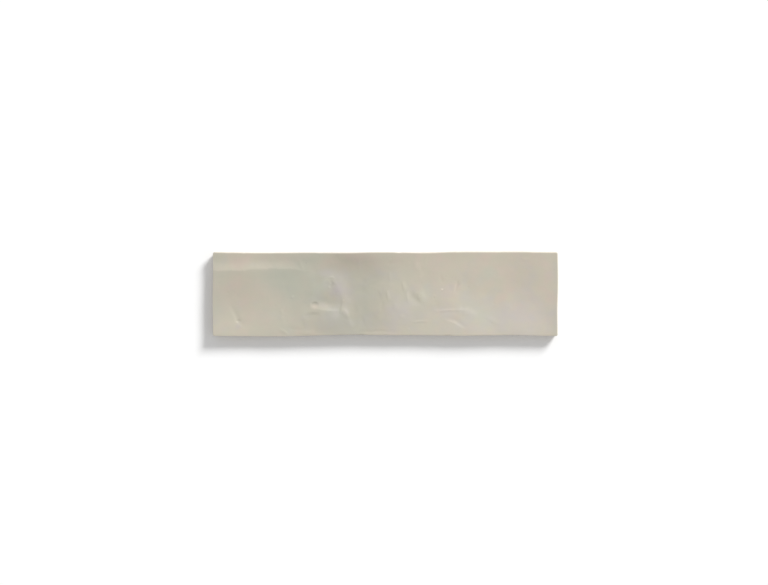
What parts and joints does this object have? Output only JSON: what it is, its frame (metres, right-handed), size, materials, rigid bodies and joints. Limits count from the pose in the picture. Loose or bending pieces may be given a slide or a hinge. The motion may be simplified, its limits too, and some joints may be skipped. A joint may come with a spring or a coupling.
{
  "type": "wall tile",
  "caption": "Long rectangular glazed ceramic wall tile with a handmade look: wandering rim, softly hollowed satin face and a keyed back that is bonded to a wall.",
  "frame": {"origin": "middle of the back, on the plane of the keying ribs that the tile rests on", "axes": "+X along the length, +Y across the width towards the rim that is uppermost on the wall in the picture, +Z out of the glazed face"},
  "size_m": [0.2466, 0.0607, 0.0097],
  "materials": {
    "glazed_ceramic": "satin"
  },
  "bodies": {
    "root": {"wall_tile": "glazed_ceramic"}
  },
  "joints": []
}
